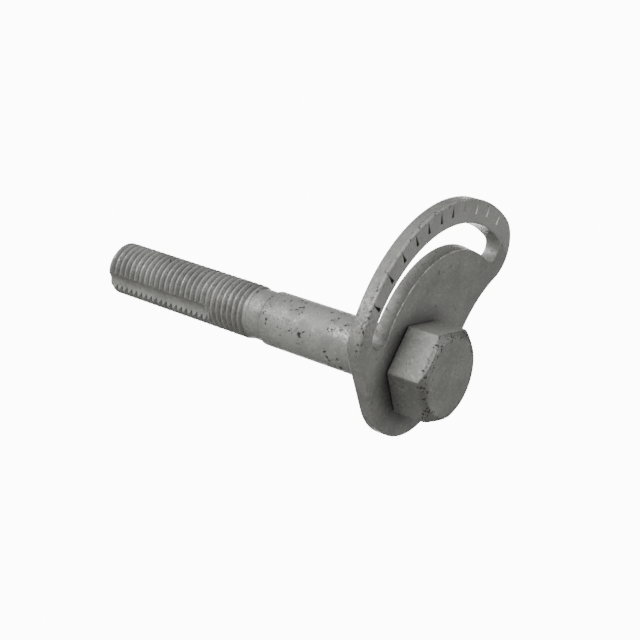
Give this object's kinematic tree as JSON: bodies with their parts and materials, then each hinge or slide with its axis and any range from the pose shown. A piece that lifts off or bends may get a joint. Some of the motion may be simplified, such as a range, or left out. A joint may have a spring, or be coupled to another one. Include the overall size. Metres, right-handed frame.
{
  "type": "alignment cam bolt",
  "caption": "Hex-head bolt with a key-grooved, coarse-threaded end and a slotted, graduated cam plate that turns under its head.",
  "frame": {"origin": "On the bolt axis, in the cam plate's rear face, which seats on the bracket", "axes": "+Y along the bolt to its threaded end, +Z to the side that the plate's lobe stands on, +X completes a right-handed frame"},
  "size_m": [0.0789, 0.1776, 0.1092],
  "materials": {
    "bolt_finish": "dull grey zinc-flake coating over forged steel",
    "plate_finish": "dull grey zinc-flake coating over cut steel plate"
  },
  "bodies": {
    "bolt": {"bolt": "bolt_finish"},
    "cam_plate": {"cam_plate": "plate_finish"}
  },
  "joints": [
    {"name": "plate_turn", "type": "hinge", "parent": "bolt", "child": "cam_plate", "pos_m": [0, 0, 0], "axis": [0, 1, 0], "continuous": true}
  ]
}
